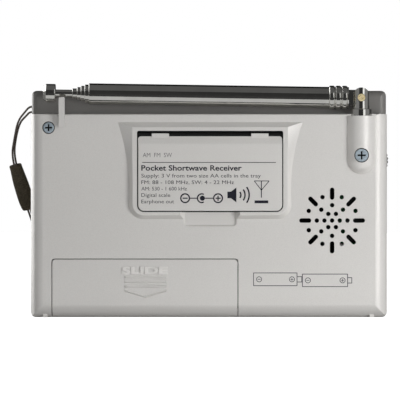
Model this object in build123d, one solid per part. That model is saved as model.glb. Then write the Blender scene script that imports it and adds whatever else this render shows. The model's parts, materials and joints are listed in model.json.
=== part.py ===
from build123d import *
import math
import os

# A pocket shortwave receiver. X runs along the width, Z up, and the back of the case faces -Y.
# Millimetres. The origin is on the surface the receiver stands on, in the middle of the case.

# Case
HALF_X = 60.0
CASE_Z = 76.5
FRONT_Y = 14.0
BACK_Y = -14.0
WALL = 2.0
LEDGE_Z = 68.4
HOOD_Y = -6.0
BACK_EDGE_R = 4.3
FRONT_EDGE_R = 4.0
CORNER_R = 1.9
HOOD_EDGE_R = 2.2
SEAM_GROOVE = 0.35

# Stand and the raised frame around it
STAND_X = 0.4
STAND_HALF = 24.2
STAND_LOW_Z = 35.8
STAND_TOP_Z = 60.9
STAND_FACE_Y = -15.6
STAND_T = 2.2
STAND_GAP = 0.34
FRAME_Y = -15.8
FRAME_HALF = 26.1
FRAME_LOW_Z = 34.3
FRAME_TOP_Z = 64.0
POCKET_TOP_Z = 62.7
POCKET_FLOOR_Y = -12.6
STAND_HINGE_Y = -14.4
STAND_HINGE_Z = 61.6
KNUCKLE_X = 16.7
KNUCKLE_W = 5.8
KNUCKLE_R = 0.95
STAND_PIN_R = 0.45
NOTCH_HALF = 8.4
NOTCH_LOW_Z = 31.1
NOTCH_FLOOR_Y = -13.2
NOTCH_SLOPE = 32

# Battery bay and its door
DOOR_LEFT = -52.9
DOOR_RIGHT = 9.9
DOOR_TOP = 19.8
DOOR_WRAP_Y = -7.5
DOOR_T = 1.6
DOOR_GAP = 0.28
ARROW_X = -21.2
ARROW_HALF = 7.1
ARROW_RAISE = 0.35
ARROW_BEVEL = 0.22
ARROW_BARS_Z = [13.6, 12.05, 10.5]
CELL_R = 7.25
CELL_L = 50.5
CELL_Y = -4.7
CELL_Z = 10.1
CELL_START = -51.0
BAY_LEFT = -53.4
BAY_RIGHT = 51.2

# Aerial
AERIAL_X = 51.2
AERIAL_Y = -12.3
AERIAL_Z = 73.9
AERIAL_RISE = 0.86
TUBE_R = [3.5, 3.05, 2.6, 2.15, 1.7, 1.25]
TUBE_WALL = 0.35
TUBE_MOUTH = [91.6, 93.0, 94.3, 95.6, 97.2, 102.8]
TUBE_TAIL = [11.1, 15.6, 17.0, 18.4, 19.8, 21.2]
KNOB_R = 3.1
KNOB_L = 4.2
FLANGE_R = 3.6
FLANGE_LOW_Z = 67.85
FLANGE_TOP_Z = 70.2
CLEVIS_R = 2.9
CLEVIS_TOP_Z = 77.3
CLEVIS_SLOT = 1.3
PIVOT_R = 0.8
PIVOT_HEAD_R = 1.25
PIVOT_SEAT = 2.6
POST_R = 2.0
FIT = 0.05
BOSS_R = 5.0
BOSS_END_Z = 52.9
BOSS_CORE_Y = -14.6
AERIAL_SCREW_Z = 54.5
REST_X = -49.4
REST_HALF = 1.0
REST_LOW_Z = 64.0
REST_TOP_Z = 74.0
REST_BACK_Y = -15.1
REST_FACE_Y = -16.5
REST_PEG_R = 0.8
REST_PEG_Z = 66.4

# Controls
VOLUME_R = 8.0
VOLUME_X = 53.0
VOLUME_Z = 53.0
TUNING_R = 12.0
TUNING_X = -48.6
TUNING_Z = 37.5
WHEEL_BACK_Y = 1.5
WHEEL_T = 3.0
BUTTON_X = [-46.0, -36.5, -27.0, -17.5, -8.0]
BUTTON_Z = 40.0
BUTTON_W = 6.6
BUTTON_H = 3.8
SELECTOR_X = -38.0
SELECTOR_Z = 28.0
SELECTOR_TRAVEL = 18.0
SCREEN_X = -27.0
SCREEN_Z = 58.0
SCREEN_W = 40.0
SCREEN_H = 15.0

# Inside
BOARD_BACK_Y = 6.6
BOARD_T = 1.6
SPEAKER_X = 38.0
SPEAKER_Z = 34.0
SPEAKER_R = 18.0
VENT_X = 41.4
VENT_Z = 32.6
HOLE_R = 0.75
SCREW_X = -53.9
SCREW_Z = 63.8
SOCKET_Y = -5.2
EAR_Z = 40.5
EAR_R = 1.8
SUPPLY_Z = 29.5
FERRITE_Y = 3.6
FERRITE_Z = 70.2

# Strap
CORD_R = 0.35
LUG_Y = -3.0
LUG_Z = [71.4, 69.6]
SLEEVE_TOP = (-66.4, 10.86, 51.6)
SLEEVE_LOW = (-61.9, 17.26, 36.07)
SLEEVE_W = 5.4
SLEEVE_T = 2.4


def bar(x_low, x_high, y_low, y_high, z_low, z_high):
    """A plain box between the given limits."""
    centre = Pos((x_low + x_high) / 2, (y_low + y_high) / 2, (z_low + z_high) / 2)
    return centre * Box(x_high - x_low, y_high - y_low, z_high - z_low)


def rod(start, end, radius):
    """A round bar from one point to another."""
    along = Vector(*end) - Vector(*start)
    low_end = (Align.CENTER, Align.CENTER, Align.MIN)
    return Plane(start, z_dir=along) * Cylinder(radius, along.length, align=low_end)


def plate(outline, y_front, y_back):
    """An outline drawn in X and Z, thickened from y_front back to y_back."""
    return extrude(Plane((0, y_front, 0), (1, 0, 0), (0, -1, 0)) * outline, y_front - y_back)


def rounded_block(half_x, y_seam, y_face, z_low, z_high, edges, corners):
    """A block whose outer face y_face has rounded edges.

    edges holds the radii of its side, low and high edges, corners those of its low and high corners.
    """
    block = bar(-half_x, half_x, min(y_seam, y_face), max(y_seam, y_face), z_low, z_high)
    at_face = block.edges().filter_by_position(Axis.Y, y_face - 0.01, y_face + 0.01)
    across = at_face.filter_by(Axis.X).sort_by(Axis.Z)
    upright = block.edges().filter_by(Axis.Y).sort_by(Axis.Z)
    sides = fillet(at_face.filter_by(Axis.Z), edges[0])
    ends = [fillet([edge], radius) for edge, radius in zip(across, edges[1:]) if radius > 0]
    turns = [fillet(pair, radius) for pair, radius in zip((upright[:2], upright[2:]), corners) if radius > 0]
    for piece in ends + turns:
        sides = sides & piece
    return sides


def back_block(inset):
    """The back half of the case, or its inside when inset by the wall."""
    edges = (BACK_EDGE_R - inset, BACK_EDGE_R - inset, 0 if inset else 0.5)
    corners = (CORNER_R - 0.9 * inset, 0)
    return rounded_block(HALF_X - inset, 0, BACK_Y + inset, inset, LEDGE_Z - inset, edges, corners)


def front_block(inset):
    """The front half of the case, or its inside when inset by the wall."""
    radius = FRONT_EDGE_R - inset
    turn = CORNER_R - 0.9 * inset
    return rounded_block(HALF_X - inset, 0, FRONT_Y - inset, inset, CASE_Z - inset, (radius,) * 3, (turn, turn))


def hood_block(inset):
    """The top of the front half, which runs back over the ledge behind the aerial."""
    radius = HOOD_EDGE_R - 0.9 * inset
    turn = CORNER_R - 0.9 * inset
    return rounded_block(HALF_X - inset, 0, HOOD_Y + inset, LEDGE_Z, CASE_Z - inset, (radius, 0, radius), (0, turn))


def ring_of_holes(count, radius, first=0.0):
    """Round holes spaced evenly on a circle."""
    return [Pos(spot.X, spot.Y) * Circle(HOLE_R)
            for spot in (Vector(radius, 0).rotate(Axis.Z, first + 360 * k / count) for k in range(count))]


def stand_frame():
    """The raised frame round the stand: a flat rim with sloping flanks that flare towards the top."""
    def outline(half_top, half_low, half_bend, z_low, z_high, turn):
        z_turn = z_low + turn
        z_bend = z_turn + 0.42 * (z_high - z_turn)
        right = [(half_top, z_high), (half_bend, z_bend), (half_low, z_turn)]
        left = [(-x, z) for x, z in reversed(right)]
        diagonal = turn * (1 - math.sqrt(0.5))
        low_right = (half_low - diagonal, z_low + diagonal)
        low_left = (-low_right[0], low_right[1])
        lines = ThreePointArc(*right)
        lines += ThreePointArc(right[-1], low_right, (half_low - turn, z_low))
        lines += Line((half_low - turn, z_low), (turn - half_low, z_low))
        lines += ThreePointArc((turn - half_low, z_low), low_left, left[0])
        lines += ThreePointArc(*left)
        lines += Line(left[-1], right[0])
        return make_face(lines)

    def at(y, face):
        return Plane((STAND_X, y, 0), (1, 0, 0), (0, -1, 0)) * face

    rim = outline(FRAME_HALF, FRAME_HALF, FRAME_HALF + 0.02, FRAME_LOW_Z, FRAME_TOP_Z, 4.0)
    base = outline(31.1, 27.3, 27.5, FRAME_LOW_Z - 1.2, FRAME_TOP_Z + 1.65, 4.6)
    slopes = loft([at(BACK_Y, base), at(FRAME_Y, rim)], ruled=True)
    slopes = fillet(slopes.faces().sort_by(Axis.Y)[0].outer_wire().edges(), 0.3)
    return slopes + extrude(at(BACK_Y + 0.5, base), 0.5)


def stand_outline(grow, low_turn, top_turn, z_top):
    """The stand's outline, grown by a gap all round."""
    shape = Pos(STAND_X, (STAND_LOW_Z - grow + z_top) / 2)
    shape = shape * Rectangle(2 * (STAND_HALF + grow), z_top - STAND_LOW_Z + grow)
    upright = shape.vertices().sort_by(Axis.Y)
    shape = fillet(upright[:2], low_turn)
    return fillet(shape.vertices().sort_by(Axis.Y)[-2:], top_turn)


def door_region(gap):
    """The part of the case's skin that the battery door fills, less a gap all round."""
    left = DOOR_LEFT + gap
    right = DOOR_RIGHT - gap
    top = DOOR_TOP - gap
    shape = Pos((left + right) / 2, top / 2 - 1) * Rectangle(right - left, top + 2)
    shape = fillet(shape.vertices().sort_by(Axis.Y)[-2:], 1.0)
    return plate(shape, DOOR_WRAP_Y - gap, BACK_Y - 1)


def vent_holes():
    """The sound holes in the back: round holes in rings, and slots that point outwards."""
    holes = [Circle(HOLE_R)]
    holes += ring_of_holes(6, 2.57)
    holes += ring_of_holes(8, 5.15)
    holes += ring_of_holes(8, 8.49, 22.5)
    for k in range(8):
        holes.append(Rot(0, 0, 45 * k) * Pos(9.03, 0) * SlotOverall(4.06, 2 * HOLE_R))
    return [Pos(VENT_X, VENT_Z) * hole for hole in holes]


def make_back_shell():
    """The silver back of the case, with the stand's frame, the aerial's boss and the battery tray."""
    shell = back_block(0) - back_block(WALL)
    shell += bar(STAND_X - 26, STAND_X + 26, BACK_Y + WALL, -10.8, 34.0, 64.6)
    shell += stand_frame()
    shell -= plate(stand_outline(STAND_GAP, 2.3, 0.6, POCKET_TOP_Z), POCKET_FLOOR_Y, -17)
    notch = Pos(STAND_X, 34.0) * RectangleRounded(2 * NOTCH_HALF, 5.8, 0.8)
    notch = Plane((0, NOTCH_FLOOR_Y, 0), (1, 0, 0), (0, -1, 0)) * notch
    shell -= extrude(notch, 3.8, taper=-NOTCH_SLOPE)
    pin_ends = (STAND_X - STAND_HALF - 1.5, STAND_X + STAND_HALF + 1.5)
    pin_hole = [(x, STAND_HINGE_Y, STAND_HINGE_Z) for x in pin_ends]
    shell -= rod(*pin_hole, STAND_PIN_R + 0.02)
    # tray for the cells
    tray_top = CELL_Z + CELL_R + 0.55
    tray_front = CELL_Y + CELL_R + 0.45
    tray = bar(BAY_LEFT - 1.2, BAY_RIGHT + 1.2, BACK_Y + WALL, tray_front + 1.2, WALL, tray_top + 1.2)
    shell += tray - bar(BAY_LEFT, BAY_RIGHT, BACK_Y, tray_front, WALL, tray_top)
    shell -= door_region(0)
    # boss that carries the aerial
    boss = rod((AERIAL_X, AERIAL_Y, BOSS_END_Z), (AERIAL_X, AERIAL_Y, LEDGE_Z), BOSS_R)
    boss += Pos(AERIAL_X, AERIAL_Y, BOSS_END_Z) * Sphere(BOSS_R)
    shell += boss
    shell -= bar(AERIAL_X - 3.6, AERIAL_X + 3.6, AERIAL_Y, -1, 49.6, 59.5)
    shell -= rod((AERIAL_X, AERIAL_Y, 56.4), (AERIAL_X, AERIAL_Y, 59.5), 3.6)
    shell -= bar(AERIAL_X - 3.0, AERIAL_X + 3.0, BOSS_CORE_Y, AERIAL_Y, 51.6, 56.5)
    shell -= rod((AERIAL_X, AERIAL_Y, 59.0), (AERIAL_X, AERIAL_Y, 69.0), 2.9)
    shell -= rod((AERIAL_X, AERIAL_Y, 67.75), (AERIAL_X, AERIAL_Y, 69.0), FLANGE_R + 0.2)
    shell -= bar(AERIAL_X - 6, AERIAL_X + 6, -19, BACK_Y, 67.75, 69.0)
    shell -= rod((AERIAL_X, -19, AERIAL_SCREW_Z), (AERIAL_X, -15.75, AERIAL_SCREW_Z), 2.45)
    shell -= rod((AERIAL_X, -19, AERIAL_SCREW_Z), (AERIAL_X, -12.0, AERIAL_SCREW_Z), 1.4)
    shell -= rod((REST_X, -15, REST_PEG_Z), (REST_X, -12.4, REST_PEG_Z), REST_PEG_R + 0.02)
    # screw boss, vents, sockets and feet
    shell += rod((SCREW_X, -12.2, SCREW_Z), (SCREW_X, -6.1, SCREW_Z), 3.0) & back_block(0.5)
    for post_z in (22.8, 44.2):
        shell += bar(44.0, 45.6, -12.2, -1.5, post_z, post_z + 2)
    shell -= rod((SCREW_X, -15, SCREW_Z), (SCREW_X, -12.7, SCREW_Z), 2.1)
    shell -= rod((SCREW_X, -15, SCREW_Z), (SCREW_X, -5, SCREW_Z), 1.2)
    shell -= [plate(hole, -11.5, -14.5) for hole in vent_holes()]
    shell -= rod((57, SOCKET_Y, EAR_Z), (61, SOCKET_Y, EAR_Z), 3.05)
    shell -= rod((57, SOCKET_Y, SUPPLY_Z), (61, SOCKET_Y, SUPPLY_Z), 3.85)
    for foot_x in (-55.1, 54.8):
        shell += bar(foot_x - 0.75, foot_x + 0.75, -12.6, -9.0, 0.0, 1.9)
    return shell


def make_aerial_rest():
    """The finger beside the folded aerial's tip, with the peg that holds it in the back."""
    outline = Pos(REST_X, (REST_LOW_Z + REST_TOP_Z) / 2)
    outline = outline * RectangleRounded(2 * REST_HALF, REST_TOP_Z - REST_LOW_Z, 0.45)
    finger = plate(outline, REST_BACK_Y, REST_FACE_Y)
    finger += bar(REST_X - REST_HALF, REST_X + REST_HALF, REST_BACK_Y, BACK_Y, 64.3, LEDGE_Z - 0.4)
    return finger + rod((REST_X, BACK_Y - 0.1, REST_PEG_Z), (REST_X, -12.6, REST_PEG_Z), REST_PEG_R)


def speaker_grille_holes():
    """Rings of round holes in front of the speaker."""
    holes = [Circle(HOLE_R)]
    for k in range(1, 6):
        holes += ring_of_holes(6 * k, 2.9 * k)
    return [Pos(SPEAKER_X, SPEAKER_Z) * hole for hole in holes]


def button_outline(grow):
    """One push button's outline."""
    return RectangleRounded(BUTTON_W + 2 * grow, BUTTON_H + 2 * grow, 1.0 + grow)


def wheel_slot(x_low, x_high, centre_z, half_z):
    """The slot in a side wall that a thumbwheel shows through."""
    return bar(x_low, x_high, WHEEL_BACK_Y - 0.4, WHEEL_BACK_Y + WHEEL_T + 0.4, centre_z - half_z, centre_z + half_z)


def make_front_shell():
    """The grey front of the case, with the hood behind the aerial and every front opening."""
    shell = front_block(0) + hood_block(0)
    shell -= front_block(WALL)
    shell -= hood_block(WALL)
    shell -= bar(WALL - HALF_X, HALF_X - WALL, -1, 1, LEDGE_Z, CASE_Z - WALL)
    groove = Pos(0, CASE_Z / 2) * (Rectangle(2 * HALF_X + 2, CASE_Z + 2)
                                   - RectangleRounded(2 * (HALF_X - SEAM_GROOVE), CASE_Z - 2 * SEAM_GROOVE, 1.6))
    shell -= plate(groove, SEAM_GROOVE, 0) - bar(-70, 70, -1, 1, LEDGE_Z, 80)
    shell += rod((SCREW_X, 12.5, SCREW_Z), (SCREW_X, -5.9, SCREW_Z), 2.4) - bar(-70, -58.5, -7, 13, 50, 75)
    shell -= rod((SCREW_X, 9.0, SCREW_Z), (SCREW_X, -7.0, SCREW_Z), 0.95)
    shell -= [plate(hole, 14.5, 11.5) for hole in speaker_grille_holes()]
    screen = Pos(SCREEN_X, SCREEN_Z) * RectangleRounded(SCREEN_W, SCREEN_H, 1.5)
    shell -= plate(screen, 15, 12.8)
    shell -= plate(Pos(SCREEN_X, SCREEN_Z) * RectangleRounded(SCREEN_W - 3, SCREEN_H - 3, 1.0), 15, 11)
    shell -= [plate(Pos(x, BUTTON_Z) * button_outline(0.3), 15, 11) for x in BUTTON_X]
    slot_x = SELECTOR_X + SELECTOR_TRAVEL / 2
    shell -= plate(Pos(slot_x, SELECTOR_Z) * Rectangle(SELECTOR_TRAVEL + 4.6, 2.8), 15, 11)
    shell -= wheel_slot(57, 62, VOLUME_Z, 6.9)
    shell -= wheel_slot(-61, -57, TUNING_Z, 8.3)
    for z in LUG_Z:
        shell -= rod((-61, LUG_Y, z), (-57, LUG_Y, z), 0.55)
    for cradle_x in (-40.0, 30.0):
        shell += bar(cradle_x - 1, cradle_x + 1, FERRITE_Y - 2.4, 12.5, 66.6, FERRITE_Z) - make_ferrite_rod()
    return shell


def door_ridge(outline):
    """One raised mark on the door, with a bevel round its outer edge."""
    ridge = plate(outline, BACK_Y + 0.5, BACK_Y - ARROW_RAISE)
    return chamfer(ridge.faces().sort_by(Axis.Y)[0].outer_wire().edges(), ARROW_BEVEL)


def make_battery_door():
    """The sliding battery door, which wraps under the case, with a raised arrow that points down."""
    door = (back_block(0) - back_block(DOOR_T)) & door_region(DOOR_GAP)
    for z in ARROW_BARS_Z:
        door += door_ridge(Pos(ARROW_X, z) * Rectangle(2 * ARROW_HALF, 0.8))
    chevron = Polyline((ARROW_X - ARROW_HALF, 9.5), (ARROW_X - ARROW_HALF, 8.8), (ARROW_X, 6.6),
                       (ARROW_X + ARROW_HALF, 8.8), (ARROW_X + ARROW_HALF, 9.5), (ARROW_X, 7.3), close=True)
    return door + door_ridge(make_face(chevron))


def make_kickstand():
    """The folding stand: a thin panel with two knuckles on its top edge."""
    profile = make_face(Polyline((STAND_FACE_Y, STAND_LOW_Z), (STAND_FACE_Y, STAND_TOP_Z - 2.5),
                                 (STAND_FACE_Y + 0.7, STAND_TOP_Z), (STAND_FACE_Y + STAND_T, STAND_TOP_Z),
                                 (STAND_FACE_Y + STAND_T, STAND_LOW_Z), close=True))
    side = Plane((STAND_X - STAND_HALF, 0, 0), (0, 1, 0), (1, 0, 0)) * profile
    panel = extrude(side, 2 * STAND_HALF) & plate(stand_outline(0, 2.0, 1.0, STAND_TOP_Z), -13, -17)
    inner_y = STAND_FACE_Y + STAND_T
    panel = fillet(panel.faces().sort_by(Axis.Y)[0].outer_wire().edges(), 0.3)
    panel -= bar(STAND_X - 22.2, STAND_X + 22.2, inner_y - 0.8, inner_y + 1, 38.0, 58.0)
    for side_x in (-KNUCKLE_X, KNUCKLE_X):
        low_x = STAND_X + side_x - KNUCKLE_W / 2
        high_x = STAND_X + side_x + KNUCKLE_W / 2
        ends = [(x, STAND_HINGE_Y, STAND_HINGE_Z) for x in (low_x, high_x)]
        panel += rod(*ends, KNUCKLE_R)
        panel += bar(low_x, high_x, STAND_HINGE_Y - 0.85, STAND_HINGE_Y + 0.85, STAND_TOP_Z - 0.6, STAND_HINGE_Z)
    bore = [(STAND_X + side_x, STAND_HINGE_Y, STAND_HINGE_Z) for side_x in (-30, 30)]
    panel -= rod(*bore, STAND_PIN_R + FIT)
    return panel


def make_stand_pin():
    """The wire that the stand turns on."""
    reach = STAND_HALF + 1.4
    ends = [(STAND_X + side_x, STAND_HINGE_Y, STAND_HINGE_Z) for side_x in (-reach, reach)]
    return rod(*ends, STAND_PIN_R)


def phillips_screw(head, head_r, head_h, shank_r, shank_l):
    """A cross-head screw that points along +Y, its head's outer face centred on head."""
    x, y, z = head
    screw = rod(head, (x, y + head_h, z), head_r)
    screw = fillet(screw.edges().sort_by(Axis.Y)[0], 0.4 * head_h)
    screw += rod((x, y + head_h, z), (x, y + head_h + shank_l, z), shank_r)
    arm = 0.62 * head_r
    screw -= bar(x - arm, x + arm, y - 1, y + 0.7 * head_h, z - 0.28, z + 0.28)
    screw -= bar(x - 0.28, x + 0.28, y - 1, y + 0.7 * head_h, z - arm, z + arm)
    return screw


def aerial_place(shape):
    """Moves a shape drawn along -X from the origin onto the aerial's axis, at its pivot."""
    return Pos(AERIAL_X, AERIAL_Y, AERIAL_Z) * Rot(0, AERIAL_RISE, 0) * shape


def make_aerial_tubes():
    """The six nested sections, the last a solid rod, as a list from the widest."""
    tubes = []
    for k, (radius, mouth, tail) in enumerate(zip(TUBE_R, TUBE_MOUTH, TUBE_TAIL)):
        tube = rod((-tail, 0, 0), (-mouth, 0, 0), radius)
        if k < len(TUBE_R) - 1:
            tube = fillet(tube.edges().sort_by(Axis.X)[0], 0.3)
            tube -= rod((-tail + 1, 0, 0), (-mouth - 1, 0, 0), radius - TUBE_WALL)
        tubes.append(aerial_place(tube))
    return tubes


def make_aerial_collar():
    """The turned collar on the widest tube, with its beads and the tongue that the pivot goes through."""
    collar = rod((-4.2, 0, 0), (-TUBE_TAIL[0], 0, 0), TUBE_R[0])
    collar += rod((-TUBE_TAIL[0], 0, 0), (-TUBE_TAIL[0] - 3.4, 0, 0), TUBE_R[0] - TUBE_WALL)
    for start in (4.6, 6.75, 8.9):
        bead = rod((-start, 0, 0), (-start - 1.95, 0, 0), 3.95)
        collar += fillet(bead.edges().filter_by(GeomType.CIRCLE), 0.6)
    tongue_t = CLEVIS_SLOT - 0.1
    collar += rod((0, -tongue_t, 0), (0, tongue_t, 0), 2.6) + bar(-4.6, 0, -tongue_t, tongue_t, -2.6, 2.6)
    collar -= rod((0, -5, 0), (0, 5, 0), PIVOT_R + FIT)
    return aerial_place(collar)


def make_aerial_knob():
    """The knob on the rod's tip, with a bevel on its outer end."""
    start = TUBE_MOUTH[-1]
    knob = rod((-start, 0, 0), (-start - KNOB_L, 0, 0), KNOB_R)
    ends = knob.edges().filter_by(GeomType.CIRCLE).sort_by(Axis.X)
    knob = chamfer(ends[0], 1.0)
    knob = fillet(knob.edges().filter_by(GeomType.CIRCLE).sort_by(Axis.X)[-1], 0.4)
    return aerial_place(knob)


def make_aerial_swivel():
    """The slotted head that the aerial tilts in, on the post that it turns on."""
    head = rod((AERIAL_X, AERIAL_Y, FLANGE_TOP_Z), (AERIAL_X, AERIAL_Y, CLEVIS_TOP_Z), CLEVIS_R)
    arch_z = CLEVIS_TOP_Z - CLEVIS_R
    arch = rod((AERIAL_X, AERIAL_Y - 5, arch_z), (AERIAL_X, AERIAL_Y + 5, arch_z), CLEVIS_R)
    arch += bar(AERIAL_X - 5, AERIAL_X + 5, AERIAL_Y - 5, AERIAL_Y + 5, FLANGE_TOP_Z - 0.1, arch_z)
    head = head & arch
    flange = rod((AERIAL_X, AERIAL_Y, FLANGE_LOW_Z), (AERIAL_X, AERIAL_Y, FLANGE_TOP_Z), FLANGE_R)
    flange = fillet(flange.edges().sort_by(Axis.Z)[-1], 0.4)
    head += flange
    head -= bar(AERIAL_X - 5, AERIAL_X + 5, AERIAL_Y - CLEVIS_SLOT, AERIAL_Y + CLEVIS_SLOT, AERIAL_Z - 2.75, 80)
    head -= rod((AERIAL_X, AERIAL_Y - 5, AERIAL_Z), (AERIAL_X, AERIAL_Y + 5, AERIAL_Z), PIVOT_R)
    for side in (-1, 1):
        seat = AERIAL_Y + side * PIVOT_SEAT
        head -= rod((AERIAL_X, seat, AERIAL_Z), (AERIAL_X, seat + side, AERIAL_Z), PIVOT_HEAD_R + 0.1)
    head += rod((AERIAL_X, AERIAL_Y, 56.9), (AERIAL_X, AERIAL_Y, FLANGE_LOW_Z), POST_R)
    groove = rod((AERIAL_X, AERIAL_Y, 57.5), (AERIAL_X, AERIAL_Y, 58.15), POST_R + 1)
    groove -= rod((AERIAL_X, AERIAL_Y, 57.0), (AERIAL_X, AERIAL_Y, 58.5), 1.5)
    return head - groove


def make_aerial_pivot():
    """The slotted pin that the aerial tilts on, with a head at each end."""
    reach = PIVOT_SEAT + 0.1
    pivot = rod((AERIAL_X, AERIAL_Y - reach, AERIAL_Z), (AERIAL_X, AERIAL_Y + reach, AERIAL_Z), PIVOT_R)
    for side in (-1, 1):
        seat = AERIAL_Y + side * PIVOT_SEAT
        pivot += rod((AERIAL_X, seat, AERIAL_Z), (AERIAL_X, seat + side * 0.6, AERIAL_Z), PIVOT_HEAD_R)
    face_y = AERIAL_Y - PIVOT_SEAT - 0.6
    return pivot - bar(AERIAL_X - 2, AERIAL_X + 2, face_y - 1, face_y + 0.3, AERIAL_Z - 0.22, AERIAL_Z + 0.22)


def make_swivel_clip():
    """The clip that holds the post in its bracket."""
    clip = rod((AERIAL_X, AERIAL_Y, 57.55), (AERIAL_X, AERIAL_Y, 58.1), 2.75)
    clip -= rod((AERIAL_X, AERIAL_Y, 57), (AERIAL_X, AERIAL_Y, 59), 1.52)
    return clip - bar(AERIAL_X - 0.9, AERIAL_X + 0.9, AERIAL_Y, AERIAL_Y + 4, 57, 59)


def make_aerial_bracket():
    """The brass bracket that the post turns in, with a threaded tab for the aerial's screw."""
    bracket = rod((AERIAL_X, AERIAL_Y, 59.5), (AERIAL_X, AERIAL_Y, 67.4), 2.85)
    bracket += bar(AERIAL_X - 3.3, AERIAL_X + 3.3, AERIAL_Y - 1.4, -6.8, 58.35, 59.5)
    bracket += rod((AERIAL_X, AERIAL_Y, 58.35), (AERIAL_X, AERIAL_Y, 59.5), 3.3)
    bracket += bar(AERIAL_X - 3.3, AERIAL_X + 3.3, -8.0, -6.8, 50.4, 59.5)
    bracket -= rod((AERIAL_X, AERIAL_Y, 57), (AERIAL_X, AERIAL_Y, 68), POST_R + FIT)
    return bracket - rod((AERIAL_X, -9, AERIAL_SCREW_Z), (AERIAL_X, -6, AERIAL_SCREW_Z), 1.3)


def thumbwheel(x, z, radius, pitch):
    """A toothed wheel on a short stub that turns in its control."""
    back = WHEEL_BACK_Y
    front = back + WHEEL_T
    wheel = rod((x, back, z), (x, front, z), radius)
    teeth = round(2 * math.pi * radius / pitch)
    valleys = []
    for k in range(teeth):
        turn = 2 * math.pi * k / teeth
        spot = (x + (radius + 0.18) * math.cos(turn), z + (radius + 0.18) * math.sin(turn))
        valleys.append(rod((spot[0], back - 1, spot[1]), (spot[0], front + 1, spot[1]), 0.42))
    wheel -= valleys
    wheel += rod((x, front, z), (x, BOARD_BACK_Y - 0.6, z), 1.9)
    return wheel


def control_body(x, z, half):
    """A square control body on the back of the board, bored for its wheel's stub."""
    front = WHEEL_BACK_Y + WHEEL_T + 0.2
    body = bar(x - half, x + half, front, BOARD_BACK_Y, z - half, z + half)
    return body - rod((x, front - 1, z), (x, BOARD_BACK_Y - 0.5, z), 1.95)


def make_button(x):
    """A push button with a flange that keeps it in the case."""
    cap = plate(Pos(x, BUTTON_Z) * button_outline(0), 14.8, 11.6)
    cap = fillet(cap.faces().sort_by(Axis.Y)[-1].edges(), 0.3)
    cap += plate(Pos(x, BUTTON_Z) * RectangleRounded(BUTTON_W + 1.6, BUTTON_H + 1.6, 0.8), 11.7, 11.0)
    return cap + rod((x, 10.0, BUTTON_Z), (x, 11.0, BUTTON_Z), 1.2)


def make_band_selector():
    """The band selector's knob, on a stem that goes through the slot."""
    knob = plate(Pos(SELECTOR_X, SELECTOR_Z) * RectangleRounded(7.0, 6.0, 1.0), 16.9, 14.3)
    knob += plate(Pos(SELECTOR_X, SELECTOR_Z) * Rectangle(4.0, 2.2), 14.4, 9.9)
    grooves = [bar(SELECTOR_X + k - 0.2, SELECTOR_X + k + 0.2, 16.6, 18, 24, 32) for k in (-2, -1, 0, 1, 2)]
    return knob - grooves


def make_main_board():
    """The circuit board, cut round the speaker, the screw boss and the edge of the case."""
    board = bar(-57.0, 57.0, BOARD_BACK_Y, BOARD_BACK_Y + BOARD_T, 21.0, 66.2)
    board -= rod((SPEAKER_X, 5, SPEAKER_Z), (SPEAKER_X, 10, SPEAKER_Z), SPEAKER_R + 1.2)
    board -= bar(SPEAKER_X - 14, 60, 5, 10, 20, SPEAKER_Z + 4)
    board -= rod((SCREW_X, 5, SCREW_Z), (SCREW_X, 10, SCREW_Z), 3.3)
    return board - bar(-60, SCREW_X, 5, 10, SCREW_Z - 3.3, SCREW_Z + 3.3)


def make_speaker():
    """The loudspeaker's basket and magnet."""
    basket = make_face(Polyline((0, 5.6), (9.5, 5.6), (11.0, 6.4), (15.6, 11.2), (SPEAKER_R, 11.2),
                                (SPEAKER_R, 12.0), (15.0, 12.0), (10.4, 7.0), (9.0, 6.4), (0, 6.4), close=True))
    magnet = make_face(Polyline((0, 2.8), (9.0, 2.8), (9.0, 5.6), (0, 5.6), close=True))
    outline = Plane((SPEAKER_X, 0, SPEAKER_Z), (1, 0, 0), (0, 0, 1)) * (basket + magnet)
    return revolve(outline, Axis((SPEAKER_X, 0, SPEAKER_Z), (0, 1, 0)))


def make_speaker_cone():
    """The paper cone and its dust cap."""
    cone = make_face(Polyline((0, 9.0), (4.0, 8.2), (4.0, 7.6), (4.8, 7.6), (13.9, 11.4), (13.9, 11.9),
                              (13.3, 11.9), (4.6, 8.4), (0, 9.6), close=True))
    outline = Plane((SPEAKER_X, 0, SPEAKER_Z), (1, 0, 0), (0, 0, 1)) * cone
    return revolve(outline, Axis((SPEAKER_X, 0, SPEAKER_Z), (0, 1, 0)))


def make_battery_cells():
    """Two round cells in line."""
    cells = []
    for k in range(2):
        start = CELL_START + k * (CELL_L + 0.05)
        body_end = start + CELL_L - 1.3
        body = rod((start, CELL_Y, CELL_Z), (body_end, CELL_Y, CELL_Z), CELL_R)
        body = fillet(body.edges().filter_by(GeomType.CIRCLE), 0.6)
        cells.append(body + rod((body_end, CELL_Y, CELL_Z), (start + CELL_L, CELL_Y, CELL_Z), 2.7))
    return cells[0] + cells[1]


def make_contact_spring():
    """The sprung contact: a plate with a bent leaf."""
    plate_x = BAY_LEFT + 0.05
    leaf = FilletPolyline((plate_x + 0.3, CELL_Z - 5), (plate_x + 1.1, CELL_Z - 3), (plate_x + 2.1, CELL_Z),
                          (plate_x + 1.0, CELL_Z + 4), radius=1.2)
    strip = trace(leaf, 0.25)
    leaf_solid = extrude(Plane((0, CELL_Y + 2.5, 0), (1, 0, 0), (0, -1, 0)) * strip, 5.0)
    backing = bar(plate_x, plate_x + 0.4, CELL_Y - 5, CELL_Y + 5, CELL_Z - 6, CELL_Z + 6)
    return backing + leaf_solid


def make_contact_plate():
    """The flat contact that the last cell's tip presses on."""
    last = CELL_START + 2 * CELL_L + 0.1
    contact = bar(last + 0.15, last + 0.55, CELL_Y - 5, CELL_Y + 5, CELL_Z - 6, CELL_Z + 6)
    return contact + rod((last + 0.5, CELL_Y, CELL_Z), (BAY_RIGHT - 0.05, CELL_Y, CELL_Z), 2.0)


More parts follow.
